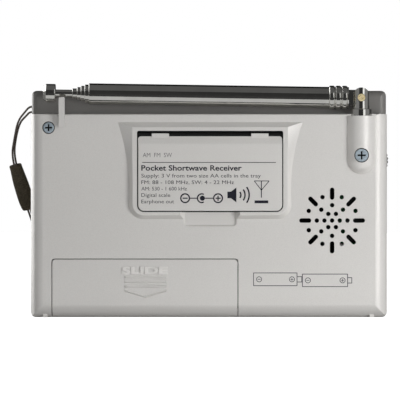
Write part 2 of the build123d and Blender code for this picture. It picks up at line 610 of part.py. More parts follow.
def make_ear_socket():
    """The earphone socket, a block with a round bush in the side of the case."""
    block = bar(46.5, 57.9, SOCKET_Y - 3.3, -1.5, EAR_Z - 3.3, EAR_Z + 3.3)
    block += rod((57.8, SOCKET_Y, EAR_Z), (HALF_X, SOCKET_Y, EAR_Z), 3.0)
    return block - rod((48, SOCKET_Y, EAR_Z), (61, SOCKET_Y, EAR_Z), EAR_R)


def make_supply_socket():
    """The power socket, with its centre pin."""
    block = bar(46.5, 57.9, SOCKET_Y - 4.2, -1.5, SUPPLY_Z - 4.2, SUPPLY_Z + 4.2)
    block += rod((57.8, SOCKET_Y, SUPPLY_Z), (HALF_X, SOCKET_Y, SUPPLY_Z), 3.8)
    block -= rod((48, SOCKET_Y, SUPPLY_Z), (61, SOCKET_Y, SUPPLY_Z), 2.9)
    return block + rod((47.5, SOCKET_Y, SUPPLY_Z), (57.5, SOCKET_Y, SUPPLY_Z), 0.65)


def make_ferrite_rod():
    """The ferrite rod of the medium-wave aerial, across the top of the case."""
    return rod((-44, FERRITE_Y, FERRITE_Z), (34, FERRITE_Y, FERRITE_Z), 2.6)


def make_ferrite_coil():
    """The coil wound on the ferrite rod."""
    coil = rod((6, FERRITE_Y, FERRITE_Z), (22, FERRITE_Y, FERRITE_Z), 3.4)
    return coil - rod((5, FERRITE_Y, FERRITE_Z), (23, FERRITE_Y, FERRITE_Z), 2.65)


def make_coil_cans():
    """The screened tuning coils on the back of the board."""
    return [bar(x - 3.3, x + 3.3, -1.0, BOARD_BACK_Y, z - 3.3, z + 3.3) for x, z in
            ((-14, 57), (-5, 57), (4, 57), (-14, 48), (26, 58.5))]


def make_capacitors():
    """The round electrolytic capacitors on the back of the board."""
    return [rod((x, BOARD_BACK_Y, z), (x, -1.5, z), radius) for x, z, radius in
            ((12, 26, 3.1), (4, 26, 2.5), (-4, 26, 2.5), (14, 45, 3.1))]


def cord_route():
    """The strap's cord: out of the case, down through the sleeve, a loop on the table, and back."""
    return [
        (-58.2, LUG_Y, LUG_Z[0]), (-60.7, -2.9, 71.3), (-62.2, -2.3, 69.6), (-64.9, -0.6, 66.4),
        (-66.2, 3.4, 60.9), (-67.65, 9.81, 54.4), (-64.9, 13.72, 44.9), (-62.15, 17.54, 35.4),
        (-59.3, 19.6, 27.5), (-56.6, 20.6, 15.4), (-52.6, 22.8, 5.6), (-44.5, 27.0, 0.8), (-32.0, 31.6, 0.45),
        (-17.5, 31.2, 0.5), (-2.5, 33.6, 0.45), (9.5, 32.2, 0.5), (14.0, 26.4, 0.45),
        (9.0, 20.4, 0.5), (-3.0, 18.0, 0.45), (-17.0, 19.4, 0.5), (-32.0, 18.0, 0.45), (-45.0, 19.0, 0.7),
        (-53.0, 18.8, 5.0), (-56.2, 18.4, 14.4), (-58.4, 18.5, 27.2), (-61.27, 17.46, 35.6),
        (-64.08, 13.44, 45.1), (-66.83, 9.52, 54.6), (-65.7, 3.95, 61.25), (-64.15, -0.6, 66.0),
        (-61.8, -2.3, 68.2), (-60.6, -2.9, 69.5), (-58.2, LUG_Y, LUG_Z[1]),
    ]


def cord_radii(route):
    """The largest bend that each corner of a cord's route leaves room for."""
    radii = []
    for before, corner, after in zip(route, route[1:], route[2:]):
        run_in = Vector(*corner) - Vector(*before)
        run_out = Vector(*after) - Vector(*corner)
        half_turn = math.radians(run_in.get_angle(run_out)) / 2
        radii.append(0.45 * min(run_in.length, run_out.length) / math.tan(half_turn))
    return radii


def make_strap_cord():
    """The wrist strap's thin cord."""
    route = cord_route()
    radii = cord_radii(route)
    print("strap_cord radii", [round(radius, 1) for radius in radii])
    path = FilletPolyline(*route, radius=radii)
    start = Plane(path @ 0, z_dir=path % 0)
    cord = sweep(start * Circle(CORD_R), path)
    print("strap_cord length", round(path.length, 1), "volume", round(cord.volume, 2),
          "section times length", round(math.pi * CORD_R ** 2 * path.length, 2))
    return cord


def make_strap_sleeve():
    """The flat leather sleeve that gathers the strap's two strands."""
    top = Vector(*SLEEVE_TOP)
    low = Vector(*SLEEVE_LOW)
    across = Vector(1, 0, 0) - (low - top).normalized() * (low - top).normalized().X
    section = Plane(top, x_dir=across, z_dir=low - top)
    sleeve = RectangleRounded(SLEEVE_W, SLEEVE_T, 1.15) - RectangleRounded(SLEEVE_W - 1.6, SLEEVE_T - 1.3, 0.5)
    return extrude(section * sleeve, (low - top).length)


def make_nodes():
    """Every sub-part by its node name."""
    nodes = {
        "back_shell": make_back_shell(),
        "front_shell": make_front_shell(),
        "battery_door": make_battery_door(),
        "kickstand": make_kickstand(),
        "stand_pin": make_stand_pin(),
        "case_screw": phillips_screw((SCREW_X, -13.9, SCREW_Z), 1.9, 1.15, 0.95, 8.5),
        "aerial_screw": phillips_screw((AERIAL_X, -16.85, AERIAL_SCREW_Z), 2.25, 1.05, 1.25, 8.85),
        "aerial_rest": make_aerial_rest(),
        "aerial_bracket": make_aerial_bracket(),
        "aerial_swivel": make_aerial_swivel(),
        "aerial_pivot": make_aerial_pivot(),
        "swivel_clip": make_swivel_clip(),
        "aerial_collar": make_aerial_collar(),
        "aerial_knob": make_aerial_knob(),
        "volume_wheel": thumbwheel(VOLUME_X, VOLUME_Z, VOLUME_R, 1.25),
        "volume_control": control_body(VOLUME_X, VOLUME_Z, 4.2),
        "tuning_wheel": thumbwheel(TUNING_X, TUNING_Z, TUNING_R, 1.25),
        "tuning_capacitor": control_body(TUNING_X, TUNING_Z, 8.0),
        "band_selector": make_band_selector(),
        "band_switch": bar(SELECTOR_X - 6, SELECTOR_X + SELECTOR_TRAVEL + 6, 8.2, 9.7, 25.0, 31.0),
        "tact_switches": [bar(x - 3, x + 3, 8.2, 9.0, BUTTON_Z - 3, BUTTON_Z + 3) for x in BUTTON_X],
        "display_window": plate(Pos(SCREEN_X, SCREEN_Z) * RectangleRounded(SCREEN_W - 0.1, SCREEN_H - 0.1, 1.45),
                                14.0, 12.8),
        "display_module": bar(SCREEN_X - 18, SCREEN_X + 18, 8.2, 11.8, SCREEN_Z - 5.8, SCREEN_Z + 5.8),
        "main_board": make_main_board(),
        "tuner_chip": bar(-30.0, -20.0, 4.8, 6.6, 50.0, 60.0),
        "coil_cans": make_coil_cans(),
        "capacitors": make_capacitors(),
        "ferrite_rod": make_ferrite_rod(),
        "ferrite_coil": make_ferrite_coil(),
        "speaker": make_speaker(),
        "speaker_cone": make_speaker_cone(),
        "battery_cells": make_battery_cells(),
        "battery_spring_contact": make_contact_spring(),
        "battery_end_contact": make_contact_plate(),
        "jack_board": bar(44.0, 57.5, -1.5, -0.3, 22.5, 46.5),
        "earphone_socket": make_ear_socket(),
        "supply_socket": make_supply_socket(),
        "strap_cord": make_strap_cord(),
        "strap_sleeve": make_strap_sleeve(),
    }
    for k, tube in enumerate(make_aerial_tubes()):
        nodes[f"aerial_section_{k + 1}"] = tube
    for k, x in enumerate(BUTTON_X):
        nodes[f"button_{k + 1}"] = make_button(x)
    return nodes


def main():
    os.makedirs("parts", exist_ok=True)
    for name, shape in make_nodes().items():
        solids = shape if isinstance(shape, list) else [shape]
        export_step(Compound([solid for piece in solids for solid in piece.solids()]), f"parts/{name}.step")


main()
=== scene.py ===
"""A pocket shortwave receiver, standing up and seen from its back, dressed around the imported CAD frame.

Places and sizes on the receiver are in millimetres and become metres through MM. The camera, the studio and the
textures' sizes are in metres.
"""

import json
import math

import bmesh
import bpy
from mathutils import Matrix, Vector


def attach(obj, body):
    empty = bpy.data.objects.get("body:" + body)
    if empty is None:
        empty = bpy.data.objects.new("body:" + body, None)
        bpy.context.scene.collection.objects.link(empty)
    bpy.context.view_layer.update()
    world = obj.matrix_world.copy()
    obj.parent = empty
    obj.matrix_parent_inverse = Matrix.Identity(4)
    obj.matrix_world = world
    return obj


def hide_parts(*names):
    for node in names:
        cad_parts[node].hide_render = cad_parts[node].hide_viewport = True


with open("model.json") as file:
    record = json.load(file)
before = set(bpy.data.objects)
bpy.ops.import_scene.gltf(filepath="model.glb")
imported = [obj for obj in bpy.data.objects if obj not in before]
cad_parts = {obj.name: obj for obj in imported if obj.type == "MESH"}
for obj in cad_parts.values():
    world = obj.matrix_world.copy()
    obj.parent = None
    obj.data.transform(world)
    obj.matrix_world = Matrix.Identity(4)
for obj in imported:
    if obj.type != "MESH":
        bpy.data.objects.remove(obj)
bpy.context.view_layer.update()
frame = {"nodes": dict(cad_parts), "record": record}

MM = 0.001
# the faces that carry print
BACK_Y = -14.0
STAND_FACE_Y = -15.6
FRONT_Y = 14.0
KEY_FACE_Y = 14.8
DISPLAY_FACE_Y = 11.8


def grey(value, warmth=0.0):
    """A neutral colour from its 0 to 255 display value, warmer with warmth above 0."""
    level = (value / 255) ** 2.2
    return (level * (1 + warmth), level, level * (1 - 1.5 * warmth), 1.0)


def tint(red, green, blue):
    """A colour from its 0 to 255 display values."""
    return ((red / 255) ** 2.2, (green / 255) ** 2.2, (blue / 255) ** 2.2, 1.0)


def scaled(colour, factor):
    """A colour made lighter or darker."""
    return tuple(min(1.0, channel * factor) for channel in colour[:3]) + (1.0,)


# ---------------------------------------------------------------- camera

CAMERA_X = -0.003
CAMERA_Y = -1.214
CAMERA_Z = 0.0395
SENSOR_WIDTH = 36.0
# what the picture shows from side to side at the back's face
FRAME_WIDTH = 0.1344


def make_camera():
    """The camera square on to the back of the case."""
    data = bpy.data.cameras.new("camera")
    data.sensor_width = SENSOR_WIDTH
    data.lens = SENSOR_WIDTH * (BACK_Y * MM - CAMERA_Y) / FRAME_WIDTH
    data.clip_start = 0.05
    data.clip_end = 20.0
    camera = bpy.data.objects.new("camera", data)
    camera.location = (CAMERA_X, CAMERA_Y, CAMERA_Z)
    camera.rotation_euler = (math.radians(90), 0, 0)
    bpy.context.scene.collection.objects.link(camera)
    bpy.context.scene.camera = camera


# ---------------------------------------------------------------- materials

# a Mix node's colour sockets, which share their names with its other kinds' sockets
MIX_A = 6
MIX_B = 7
MIX_RESULT = 2


class Recipe:
    """Builds one node material around a Principled shader."""

    def __init__(self, name, roughness, metallic=0.0, **sockets):
        self.material = bpy.data.materials.new(name)
        self.material.use_nodes = True
        self.tree = self.material.node_tree
        self.tree.nodes.clear()
        output = self.node("ShaderNodeOutputMaterial")
        self.shader = self.node("ShaderNodeBsdfPrincipled")
        self.link(self.shader.outputs["BSDF"], output.inputs["Surface"])
        self.shader.inputs["Roughness"].default_value = roughness
        self.shader.inputs["Metallic"].default_value = metallic
        for socket, value in sockets.items():
            self.shader.inputs[socket.replace("_", " ")].default_value = value
        self.place = self.node("ShaderNodeTexCoord").outputs["Object"]

    def node(self, kind, **settings):
        """A new node with some of its settings."""
        made = self.tree.nodes.new(kind)
        for key, value in settings.items():
            setattr(made, key, value)
        return made

    def link(self, source, target):
        """Joins two sockets."""
        self.tree.links.new(source, target)

    def stretched(self, scale):
        """Object coordinates scaled by a different amount along each axis."""
        mapping = self.node("ShaderNodeMapping")
        mapping.inputs["Scale"].default_value = scale
        self.link(self.place, mapping.inputs["Vector"])
        return mapping.outputs["Vector"]

    def noise(self, size, detail=2.0, place=None):
        """Soft noise whose features are about size metres wide."""
        texture = self.node("ShaderNodeTexNoise")
        texture.inputs["Scale"].default_value = 1.0 / size
        texture.inputs["Detail"].default_value = detail
        self.link(place or self.place, texture.inputs["Vector"])
        return texture.outputs["Fac"]

    def cells(self, size):
        """Cell noise whose cells are about size metres wide."""
        texture = self.node("ShaderNodeTexVoronoi")
        texture.inputs["Scale"].default_value = 1.0 / size
        self.link(self.place, texture.inputs["Vector"])
        return texture.outputs["Distance"]

    def spread(self, source, low, high, from_low=0.3, from_high=0.7):
        """A value stretched from one range to low and high."""
        ranged = self.node("ShaderNodeMapRange")
        self.link(source, ranged.inputs["Value"])
        limits = {"From Min": from_low, "From Max": from_high, "To Min": low, "To Max": high}
        for socket, value in limits.items():
            ranged.inputs[socket].default_value = value
        return ranged.outputs["Result"]

    def mixed(self, source, colour_a, colour_b):
        """A colour that goes from a to b with source."""
        mix = self.node("ShaderNodeMix", data_type="RGBA")
        self.link(source, mix.inputs["Factor"])
        for socket, colour in ((mix.inputs[MIX_A], colour_a), (mix.inputs[MIX_B], colour_b)):
            if hasattr(colour, "is_linked"):
                self.link(colour, socket)
            else:
                socket.default_value = colour
        return mix.outputs[MIX_RESULT]

    def inside(self, boxes):
        """1 inside any of the boxes, each given in millimetres by its x, y and z ranges, and 0 elsewhere."""
        split = self.node("ShaderNodeSeparateXYZ")
        self.link(self.place, split.inputs["Vector"])
        total = None
        for ranges in boxes:
            product = None
            for axis, (low, high) in enumerate(ranges):
                within = self.node("ShaderNodeMath", operation="COMPARE")
                self.link(split.outputs[axis], within.inputs[0])
                within.inputs[1].default_value = (low + high) / 2 * MM
                within.inputs[2].default_value = (high - low) / 2 * MM
                product = self.combine("MULTIPLY", product, within.outputs[0])
            total = self.combine("MAXIMUM", total, product)
        return total

    def combine(self, operation, first, second):
        """Two values put together, or the second alone."""
        if first is None:
            return second
        both = self.node("ShaderNodeMath", operation=operation)
        self.link(first, both.inputs[0])
        self.link(second, both.inputs[1])
        return both.outputs[0]

    def colour(self, source):
        """Sets the base colour from a socket."""
        self.link(source, self.shader.inputs["Base Color"])

    def roughness(self, source):
        """Sets the roughness from a socket."""
        self.link(source, self.shader.inputs["Roughness"])

    def relief(self, source, depth, strength=1.0):
        """Bumps the surface by depth metres with source."""
        bump = self.node("ShaderNodeBump")
        bump.inputs["Strength"].default_value = strength
        bump.inputs["Distance"].default_value = depth
        self.link(source, bump.inputs["Height"])
        self.link(bump.outputs["Normal"], self.shader.inputs["Normal"])


# near-black colour painted over gaps, holes and recesses as their shade
PAINTED_SHADE_COLOUR = grey(24)


def finish_of(name, colour, roughness, metallic=0.0, drift=0.05, drift_size=0.02, grain=0.05, grain_size=0.0003,
              relief=0.00001, rough_spread=0.06, painted_shade_boxes=(), **sockets):
    """A surface with a slow drift of colour, fine grain, uneven gloss, a little relief, and painted shade:
    near-black inside the given boxes.
    """
    recipe = Recipe(name, roughness, metallic, **sockets)
    slow = recipe.spread(recipe.noise(drift_size, 3.0), 0, 1)
    fine = recipe.noise(grain_size, 3.0)
    body = recipe.mixed(slow, scaled(colour, 1 - drift), scaled(colour, 1 + drift))
    dark = recipe.mixed(slow, scaled(colour, 1 - drift - grain), scaled(colour, 1 + drift - grain))
    painted = recipe.mixed(recipe.spread(fine, 0, 1, 0.35, 0.6), dark, body)
    # painted shade: inside the given boxes the colour turns near-black
    if painted_shade_boxes:
        painted = recipe.mixed(recipe.inside(painted_shade_boxes), painted, PAINTED_SHADE_COLOUR)
    recipe.colour(painted)
    smudge = recipe.noise(drift_size * 0.4, 4.0)
    recipe.roughness(recipe.spread(smudge, roughness - rough_spread, roughness + rough_spread))
    recipe.relief(fine, relief, 0.6)
    return recipe.material


def brushed(name, colour, roughness, along, line_size=0.00008):
    """Polished or brushed metal with fine scratches along one axis."""
    recipe = Recipe(name, roughness, metallic=1.0)
    line_stretch = 0.03
    scale = tuple(line_stretch if axis == along else 1.0 for axis in "xyz")
    lines = recipe.noise(line_size, 2.0, recipe.stretched(scale))
    cloud = recipe.noise(0.006, 3.0)
    recipe.colour(recipe.mixed(recipe.spread(cloud, 0, 1), scaled(colour, 0.93), scaled(colour, 1.04)))
    recipe.roughness(recipe.spread(lines, roughness * 0.7, roughness * 1.5))
    recipe.relief(lines, 0.000002, 0.3)
    return recipe.material


def laminate(name):
    """Green circuit board with copper tracks under its varnish."""
    recipe = Recipe(name, 0.35)
    grid = recipe.node("ShaderNodeTexBrick")
    grid.inputs["Scale"].default_value = 420.0
    grid.inputs["Mortar Size"].default_value = 0.012
    recipe.link(recipe.place, grid.inputs["Vector"])
    tracks = recipe.mixed(grid.outputs["Fac"], tint(18, 92, 48), tint(60, 140, 70))
    recipe.colour(recipe.mixed(recipe.spread(recipe.noise(0.004), 0, 1, 0.45, 0.5), tint(14, 80, 42), tracks))
    recipe.relief(grid.outputs["Fac"], 0.00003, 0.5)
    return recipe.material


def winding(name, colour):
    """Fine enamelled wire wound side by side."""
    recipe = Recipe(name, 0.3, metallic=0.8)
    wave = recipe.node("ShaderNodeTexWave")
    wave.inputs["Scale"].default_value = 900.0
    wave.inputs["Distortion"].default_value = 0.6
    recipe.link(recipe.place, wave.inputs["Vector"])
    recipe.colour(recipe.mixed(wave.outputs["Fac"], scaled(colour, 0.45), colour))
    recipe.relief(wave.outputs["Fac"], 0.00008)
    return recipe.material


def leather(name):
    """Olive brown leather, with pebbled grain and worn, paler high spots."""
    recipe = Recipe(name, 0.55, Sheen_Weight=0.15)
    pebbles = recipe.cells(0.00035)
    cloud = recipe.noise(0.004, 4.0)
    body = recipe.mixed(recipe.spread(cloud, 0, 1), tint(80, 72, 56), tint(112, 103, 82))
    recipe.colour(recipe.mixed(recipe.spread(pebbles, 0, 1, 0.1, 0.75), body, tint(62, 55, 42)))
    recipe.roughness(recipe.spread(cloud, 0.42, 0.62))
    recipe.relief(pebbles, 0.00006, 0.8)
    return recipe.material


def waxed_cord(name):
    """Twisted waxed yarn."""
    recipe = Recipe(name, 0.6, Sheen_Weight=0.2)
    yarn = recipe.noise(0.00022, 2.0, recipe.stretched((1.0, 1.0, 0.45)))
    cloud = recipe.noise(0.003)
    body = recipe.mixed(recipe.spread(cloud, 0, 1), tint(96, 86, 78), tint(122, 112, 102))
    recipe.colour(recipe.mixed(recipe.spread(yarn, 0, 1, 0.4, 0.6), tint(66, 58, 52), body))
    recipe.relief(yarn, 0.00012, 0.9)
    return recipe.material


def tinted_window(name):
    """Dark red transparent plastic in front of the display."""
    recipe = Recipe(name, 0.06, Transmission_Weight=0.85, IOR=1.49, Coat_Weight=0.3)
    cloud = recipe.noise(0.01)
    recipe.colour(recipe.mixed(recipe.spread(cloud, 0, 1), tint(92, 22, 24), tint(104, 28, 28)))
    recipe.roughness(recipe.spread(recipe.noise(0.003, 3.0), 0.04, 0.09))
    return recipe.material


# how much warmer than a neutral grey the silver paint is
SILVER_WARMTH = 0.022
# where the two screws' heads sit
AERIAL_SCREW_X = (48.7, 53.7)
AERIAL_SCREW_Z = (52.0, 57.0)
CASE_SCREW_HOLE = ((-56.1, -51.7), (-13.7, -12.4), (61.6, 66.0))
# boxes round the gaps, holes and recesses where shade is painted near-black over the silver
PAINTED_SHADE_GAPS = [
    # over the stand's two knuckles
    ((-19.4, -13.2), (-15.7, -13.2), (61.85, 62.75)),
    ((14.0, 20.2), (-15.7, -13.2), (61.85, 62.75)),
    # behind the stand
    ((-24.2, 25.0), (-14.8, -12.3), (35.4, 62.75)),
    # round the screws' heads
    (AERIAL_SCREW_X, (-16.4, -15.0), AERIAL_SCREW_Z),
    CASE_SCREW_HOLE,
    # in the sound holes
    ((28.4, 54.4), (-13.9, -12.1), (19.6, 45.6)),
]
# the crosses and the lower rims of the screws' heads, where shade is painted dark
SCREW_PAINTED_SHADE = [
    (AERIAL_SCREW_X, (-16.66, -15.4), AERIAL_SCREW_Z),
    CASE_SCREW_HOLE,
]
# the material of each slot in the record
MATERIALS = {
    "case_silver": finish_of("satin_silver", grey(212, SILVER_WARMTH), roughness=0.33, metallic=0.35,
                             drift=0.012, drift_size=0.05, grain=0.06, grain_size=0.00022, relief=0.000012,
                             rough_spread=0.03, painted_shade_boxes=PAINTED_SHADE_GAPS),
    "case_grey": finish_of("grey_gloss", grey(122, 0.03), roughness=0.34, metallic=0.4, drift=0.03,
                           drift_size=0.05, grain=0.1, grain_size=0.0002, relief=0.000004, rough_spread=0.01,
                           Coat_Weight=0.25, Coat_Roughness=0.3),
    "steel": finish_of("zinc_plate", tint(186, 200, 210), roughness=0.36, metallic=0.55, drift=0.16,
                       drift_size=0.0008, grain=0.3, grain_size=0.00025, relief=0.00002, painted_shade_boxes=SCREW_PAINTED_SHADE),
    # dark steel, made near-black so that the parts seen in the hinge gap and through the sound holes stand in
    # for shade
    "dark_steel": finish_of("dark_steel_painted_shade", grey(26), roughness=0.45, metallic=0.3, drift=0.1, grain=0.2,
                            relief=0.00002),
    "chrome": brushed("polished_chrome", tint(232, 231, 226), roughness=0.06, along="x"),
    "brass": finish_of("drawn_brass", tint(226, 208, 162), roughness=0.3, metallic=0.5, drift=0.06,
                       drift_size=0.001, grain=0.15),
    "black_plastic": finish_of("black_moulding", grey(34), roughness=0.42, drift=0.1, grain=0.2,
                               relief=0.00002),
    "wheel_plastic": finish_of("grey_moulding", grey(58), roughness=0.45, drift=0.08, grain=0.15,
                               relief=0.00002),
    "button_plastic": finish_of("silver_keys", grey(196, 0.01), roughness=0.28, metallic=0.55, drift=0.02,
                                drift_size=0.01, grain=0.08, grain_size=0.0002, relief=0.000008,
                                rough_spread=0.03),
    "window": tinted_window("red_window"),
    "board": laminate("circuit_laminate"),
    "ferrite": finish_of("sintered_ferrite", grey(52), roughness=0.6, drift=0.15, grain=0.3, relief=0.00005),
    "copper_winding": winding("enamelled_wire", tint(196, 104, 48)),
    "can_metal": brushed("drawn_aluminium", tint(206, 208, 212), roughness=0.32, along="z", line_size=0.0002),
    "paper": finish_of("pressed_paper", grey(40), roughness=0.85, drift=0.2, drift_size=0.004, grain=0.35,
                       grain_size=0.0004, relief=0.00008, rough_spread=0.1),
    "cell_sleeve": finish_of("printed_sleeve", tint(44, 96, 62), roughness=0.32, metallic=0.35, drift=0.05,
                             grain=0.08),
    "cord": waxed_cord("waxed_yarn"),
    "sleeve": leather("olive_leather"),
}


def ink(name, colour, roughness, drift, grain):
    """Printing ink, which is almost flat."""
    return finish_of(name, colour, roughness, drift=drift, drift_size=0.002, grain=grain, relief=0.000003)


INK = ink("dark_ink", tint(26, 26, 38), roughness=0.55, drift=0.15, grain=0.2)
FADED_INK = ink("pale_ink", tint(116, 114, 114), roughness=0.5, drift=0.1, grain=0.15)
DIAGRAM_INK = ink("grey_ink", tint(58, 58, 66), roughness=0.5, drift=0.12, grain=0.15)
WHITE_INK = ink("white_ink", grey(228), roughness=0.5, drift=0.04, grain=0.06)
# a lighter silver for the raised word: partly wear on its face, partly a painted highlight that makes the
# relief show
WORN_AND_HIGHLIT_SILVER = finish_of("worn_and_highlit_silver", grey(224, SILVER_WARMTH), roughness=0.33, metallic=0.35, drift=0.03,
                        drift_size=0.002, grain=0.05)
UNLIT_SEGMENT = finish_of("unlit_segment", tint(150, 120, 118), roughness=0.35, drift=0.05, drift_size=0.002,
                          grain=0.08)


def dress_nodes():
    """Gives every CAD node the material of its slot."""
    slots = {part["node"]: part["material_slot"] for part in frame["record"]["subparts"]}
    for name, node in frame["nodes"].items():
        node.data.materials.clear()
        node.data.materials.append(MATERIALS[slots[name]])


# ---------------------------------------------------------------- small builders

def new_piece(name, mesh, material, body):
    """An object made of mesh that rides on a body."""
    piece = bpy.data.objects.new(name, mesh)
    mesh.materials.clear()
    mesh.materials.append(material)
    bpy.context.scene.collection.objects.link(piece)
    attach(piece, body)
    return piece


# the cosine that stops a sharp corner's mitre from growing long
SHARPEST_MITRE = 0.35


def stroke_edges(points, width, closed):
    """The two edges of a line of even width, with mitred corners."""
    count = len(points)
    left, right = [], []
    for k, point in enumerate(points):
        before = points[(k - 1) % count] if closed or k > 0 else None
        after = points[(k + 1) % count] if closed or k < count - 1 else None
        runs = []
        if before is not None:
            runs.append((Vector(point) - Vector(before)).normalized())
        if after is not None:
            runs.append((Vector(after) - Vector(point)).normalized())
        sides = [Vector((-run.y, run.x)) for run in runs]
        across = sum(sides, Vector((0, 0))).normalized()
        reach = width / 2 / max(SHARPEST_MITRE, across.dot(sides[0]))
        left.append(Vector(point) + across * reach)
        right.append(Vector(point) - across * reach)
    return left, right


def rectangle(left, right, low, high):
    """The four corners of an upright rectangle, in X and Z."""
    return [(left, low), (right, low), (right, high), (left, high)]


# a layer of ink: how far its outer face and its hidden root stand off the surface
INK_TOP = 0.03
INK_ROOT = 0.004
# lettering: half the depth it is first extruded to, the share of the built-in font's size that a capital fills,
# and the height of a bevelled letter's shoulder as a share of the whole
HALF_DEPTH = 0.5
CAPITAL = 0.73
SHOULDER = 0.1


def lettering_mesh(text, weight, bevel):
    """A line of text in the built-in font at size 1, extruded to both sides."""
    data = bpy.data.curves.new("lettering", "FONT")
    data.body = text
    data.size = 1.0
    data.offset = weight
    data.extrude = HALF_DEPTH
    data.bevel_depth = bevel
    data.resolution_u = 3
    holder = bpy.data.objects.new("lettering", data)
    bpy.context.scene.collection.objects.link(holder)
    bpy.context.view_layer.update()
    mesh = bpy.data.meshes.new_from_object(holder.evaluated_get(bpy.context.evaluated_depsgraph_get()))
    bpy.data.objects.remove(holder)
    bpy.data.curves.remove(data)
    return mesh


class Print:
    """Ink shapes in X and Z on a face at a given Y that looks towards out (-1 or 1)."""

    def __init__(self, face_y, out=-1.0, thick=INK_TOP):
        self.mesh = bmesh.new()
        self.face_y = face_y
        self.out = out
        self.thick = thick

    def place(self, x, z, raised):
        """A vertex on the face, or raised above it."""
        y = self.face_y + self.out * (self.thick if raised else INK_ROOT)
        return self.mesh.verts.new((x * MM, y * MM, z * MM))

    def slab(self, outline):
        """A flat filled outline with a little thickness."""
        top = [self.place(x, z, True) for x, z in outline]
        low = [self.place(x, z, False) for x, z in outline]
        self.mesh.faces.new(top)
        self.mesh.faces.new(low[::-1])
        for k in range(len(outline)):
            nxt = (k + 1) % len(outline)
            self.mesh.faces.new((top[k], low[k], low[nxt], top[nxt]))

    def line(self, points, width, closed=False):
        """A line of even width through points."""
        left, right = stroke_edges(points, width, closed)
        ends = []
        for a, b in zip(left, right):
            ends.append([self.place(a.x, a.y, True), self.place(b.x, b.y, True),
                         self.place(b.x, b.y, False), self.place(a.x, a.y, False)])
        count = len(ends)
        for k in range(count if closed else count - 1):
            here, there = ends[k], ends[(k + 1) % count]
            for side in range(4):
                nxt = (side + 1) % 4
                self.mesh.faces.new((here[side], here[nxt], there[nxt], there[side]))
        if not closed:
            self.mesh.faces.new(ends[0][::-1])
            self.mesh.faces.new(ends[-1])

    def arc(self, x, z, radius, width, start=0.0, end=360.0, steps=28):
        """A ring or part of one, in degrees from +X."""
        closed = abs(end - start) >= 360
        count = steps if closed else steps + 1
        angles = [math.radians(start + (end - start) * k / steps) for k in range(count)]
        self.line([(x + radius * math.cos(a), z + radius * math.sin(a)) for a in angles], width, closed)

    def dot(self, x, z, radius):
        """A filled disc."""
        steps = 20
        angles = [2 * math.pi * k / steps for k in range(steps)]
        self.slab([(x + radius * math.cos(a), z + radius * math.sin(a)) for a in angles])

    def sign(self, x, z, reach, width, plus):
        """A minus or plus sign."""
        half = width / 2
        self.slab(rectangle(x - reach, x + reach, z - half, z + half))
        if plus:
            self.slab(rectangle(x - half, x + half, z - reach, z - half))
            self.slab(rectangle(x - half, x + half, z + half, z + reach))

    def words(self, text, left, right, baseline, cap_height, weight=0.0, bevel=0.0):
        """Lettering stretched between left and right, with capitals of the given height."""
        mesh = lettering_mesh(text, weight, bevel)
        start = min(v.co.x for v in mesh.vertices)
        end = max(v.co.x for v in mesh.vertices)
        stretch = (right - left) / (end - start)
        rise = cap_height / CAPITAL
        for v in mesh.vertices:
            along = (v.co.x - start) * stretch
            # a reader of the front has +X on the left
            x = left + along if self.out < 0 else right - along
            z = baseline + v.co.y * rise
            share = SHOULDER if bevel and v.co.z < HALF_DEPTH + bevel / 2 else 1.0
            y = self.face_y + self.out * (self.thick * share if v.co.z > 0 else INK_ROOT)
            v.co = (x * MM, y * MM, z * MM)
        self.mesh.from_mesh(mesh)
        bpy.data.meshes.remove(mesh)

    def piece(self, name, material, body, slot):
        """Turns the shapes into one piece that rides on a body."""
        bmesh.ops.remove_doubles(self.mesh, verts=self.mesh.verts, dist=1e-8)
        bmesh.ops.recalc_face_normals(self.mesh, faces=self.mesh.faces)
        mesh = bpy.data.meshes.new(name)
        self.mesh.to_mesh(mesh)
        self.mesh.free()
        new_piece(name, mesh, material, body)


# ---------------------------------------------------------------- strap

# from the upper hole down through the sleeve, round the loop on the table, and back up to the lower hole
CORD_ROUTE = [
    (-58.2, -3.0, 71.4), (-60.7, -2.9, 71.3), (-62.2, -2.3, 69.6), (-64.9, -0.6, 66.4), (-66.2, 3.4, 60.9),
    (-67.65, 9.81, 54.4), (-64.9, 13.72, 44.9), (-62.15, 17.54, 35.4), (-59.3, 19.6, 27.5), (-56.6, 20.6, 15.4),
    (-52.6, 22.8, 5.6), (-44.5, 27.0, 0.8), (-32.0, 31.6, 0.45), (-17.5, 31.2, 0.5), (-2.5, 33.6, 0.45),
    (9.5, 32.2, 0.5), (14.0, 26.4, 0.45), (9.0, 20.4, 0.5), (-3.0, 18.0, 0.45), (-17.0, 19.4, 0.5),
    (-32.0, 18.0, 0.45), (-45.0, 19.0, 0.7), (-53.0, 18.8, 5.0), (-56.2, 18.4, 14.4), (-58.4, 18.5, 27.2),
    (-61.27, 17.46, 35.6), (-64.08, 13.44, 45.1), (-66.83, 9.52, 54.6), (-65.7, 3.95, 61.25),
    (-64.15, -0.6, 66.0), (-61.8, -2.3, 68.2), (-60.6, -2.9, 69.5), (-58.2, -3.0, 69.6),
]
CORD_R = 0.35
# in metres, along both strands and the loop
SLEEVE_TOP = Vector((-66.4, 10.86, 51.6)) * MM
SLEEVE_LOW = Vector((-61.9, 17.26, 36.07)) * MM
